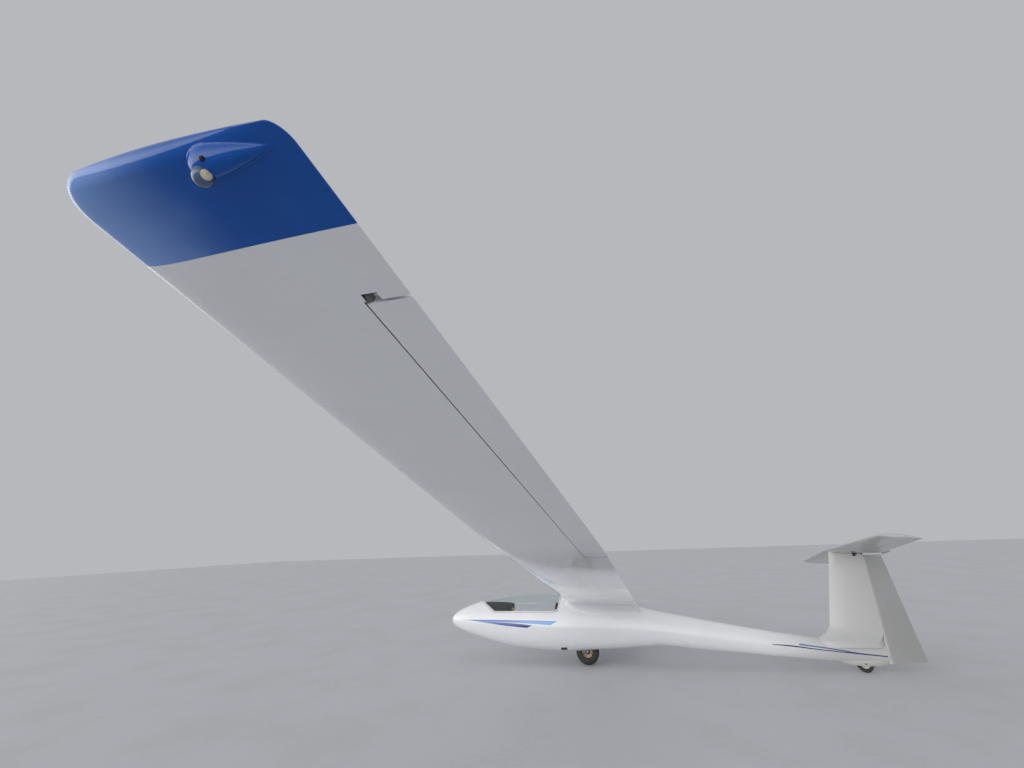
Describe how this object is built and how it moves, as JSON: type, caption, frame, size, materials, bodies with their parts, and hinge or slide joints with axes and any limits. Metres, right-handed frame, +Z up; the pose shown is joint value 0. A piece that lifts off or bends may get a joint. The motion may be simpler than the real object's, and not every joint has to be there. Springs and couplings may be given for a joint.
{
  "type": "sailplane glider",
  "caption": "Single-seat T-tail sailplane with high-aspect wings, parked on two wheels and one wing tip; canopy, control surfaces, airbrakes and wheels move.",
  "frame": {"origin": "middle of the bounding box in plan, on the floor that both wheels and the right wing tip touch", "axes": "+X aft along the fuselage, +Y toward the right wing, +Z up; the aircraft is rolled about 9.0 degrees, right wing down"},
  "size_m": [6.6906, 14.8208, 2.4358],
  "materials": {
    "gelcoat": "polished white gelcoat",
    "tip_blue": "polished blue paint",
    "clear_acrylic": "clear acrylic",
    "black": "matt black",
    "lining": "speckled grey paint",
    "steel": "plain steel",
    "lever_blue": "blue paint",
    "knob_yellow": "yellow plastic",
    "webbing": "woven webbing",
    "tyre": "black rubber",
    "rim_cream": "cream cast rim",
    "hub_white": "off-white plastic"
  },
  "bodies": {
    "airframe": {"fuselage_front": "gelcoat", "fuselage_centre": "gelcoat", "tail_boom": "gelcoat", "fin": "gelcoat", "wing_left": "gelcoat", "wing_tip_left": "tip_blue", "tip_skid_left": "tip_blue", "wing_right": "gelcoat", "wing_tip_right": "tip_blue", "tip_skid_right": "tip_blue", "tailplane": "gelcoat", "tailplane_pin": "steel", "seat_pan": "lining", "headrest": "black", "instrument_pod": "black", "instrument_panel": "steel", "control_stick": "black", "rudder_pedals": "steel", "airbrake_lever": "lever_blue", "release_knob": "knob_yellow", "harness": "webbing", "main_axle": "steel", "main_fork": "steel", "tow_hook": "steel", "tail_axle": "steel"},
    "main_wheel": {"main_tyre": "tyre", "main_rim": "rim_cream"},
    "tail_wheel": {"tail_tyre": "tyre", "tail_hub": "hub_white"},
    "rudder": {"rudder": "gelcoat"},
    "elevator": {"elevator": "gelcoat"},
    "aileron_left": {"aileron_left": "gelcoat"},
    "aileron_right": {"aileron_right": "gelcoat"},
    "airbrake_left": {"airbrake_left": "gelcoat"},
    "airbrake_right": {"airbrake_right": "gelcoat"},
    "canopy": {"canopy_frame": "gelcoat", "canopy_glass": "clear_acrylic"}
  },
  "joints": [
    {"name": "main_wheel_spin", "type": "hinge", "parent": "airframe", "child": "main_wheel", "pos_m": [-1.09126, -0.16655, 0.17363], "axis": [0, 0.9877, -0.1562], "continuous": true},
    {"name": "tail_wheel_spin", "type": "hinge", "parent": "airframe", "child": "tail_wheel", "pos_m": [2.60774, -0.17835, 0.09907], "axis": [0, 0.9877, -0.1562], "continuous": true},
    {"name": "rudder_swing", "type": "hinge", "parent": "airframe", "child": "rudder", "pos_m": [2.91874, -0.1814, 0.0798], "axis": [0.1077, 0.1553, 0.982], "range_deg": [-30, 30]},
    {"name": "elevator_tilt", "type": "hinge", "parent": "airframe", "child": "elevator", "pos_m": [3.00674, 0.04078, 1.48428], "axis": [0, 0.9877, -0.1562], "range_deg": [-31, 19]},
    {"name": "aileron_right_tilt", "type": "hinge", "parent": "airframe", "child": "aileron_right", "pos_m": [-0.639, 4.11907, 0.38474], "axis": [-0.0591, 0.9932, -0.1], "range_deg": [-20, 20]},
    {"name": "aileron_left_tilt", "type": "hinge", "parent": "airframe", "child": "aileron_left", "pos_m": [-0.639, -4.17777, 1.69721], "axis": [-0.0591, -0.9756, 0.2115], "range_deg": [-20, 20]},
    {"name": "airbrake_right_lift", "type": "slide", "parent": "airframe", "child": "airbrake_right", "axis": [0, 0.1079, 0.9942], "range_m": [0, 0.088]},
    {"name": "airbrake_left_lift", "type": "slide", "parent": "airframe", "child": "airbrake_left", "axis": [0, 0.2042, 0.9789], "range_m": [0, 0.088]},
    {"name": "canopy_open", "type": "hinge", "parent": "airframe", "child": "canopy", "pos_m": [-1.73526, 0.23377, 0.65398], "axis": [-1, 0, 0], "range_deg": [0, 80]}
  ],
  "couplings": [
    {"joint": "aileron_left_tilt", "follows": "aileron_right_tilt", "ratio": 1},
    {"joint": "airbrake_left_lift", "follows": "airbrake_right_lift", "ratio": 1}
  ]
}
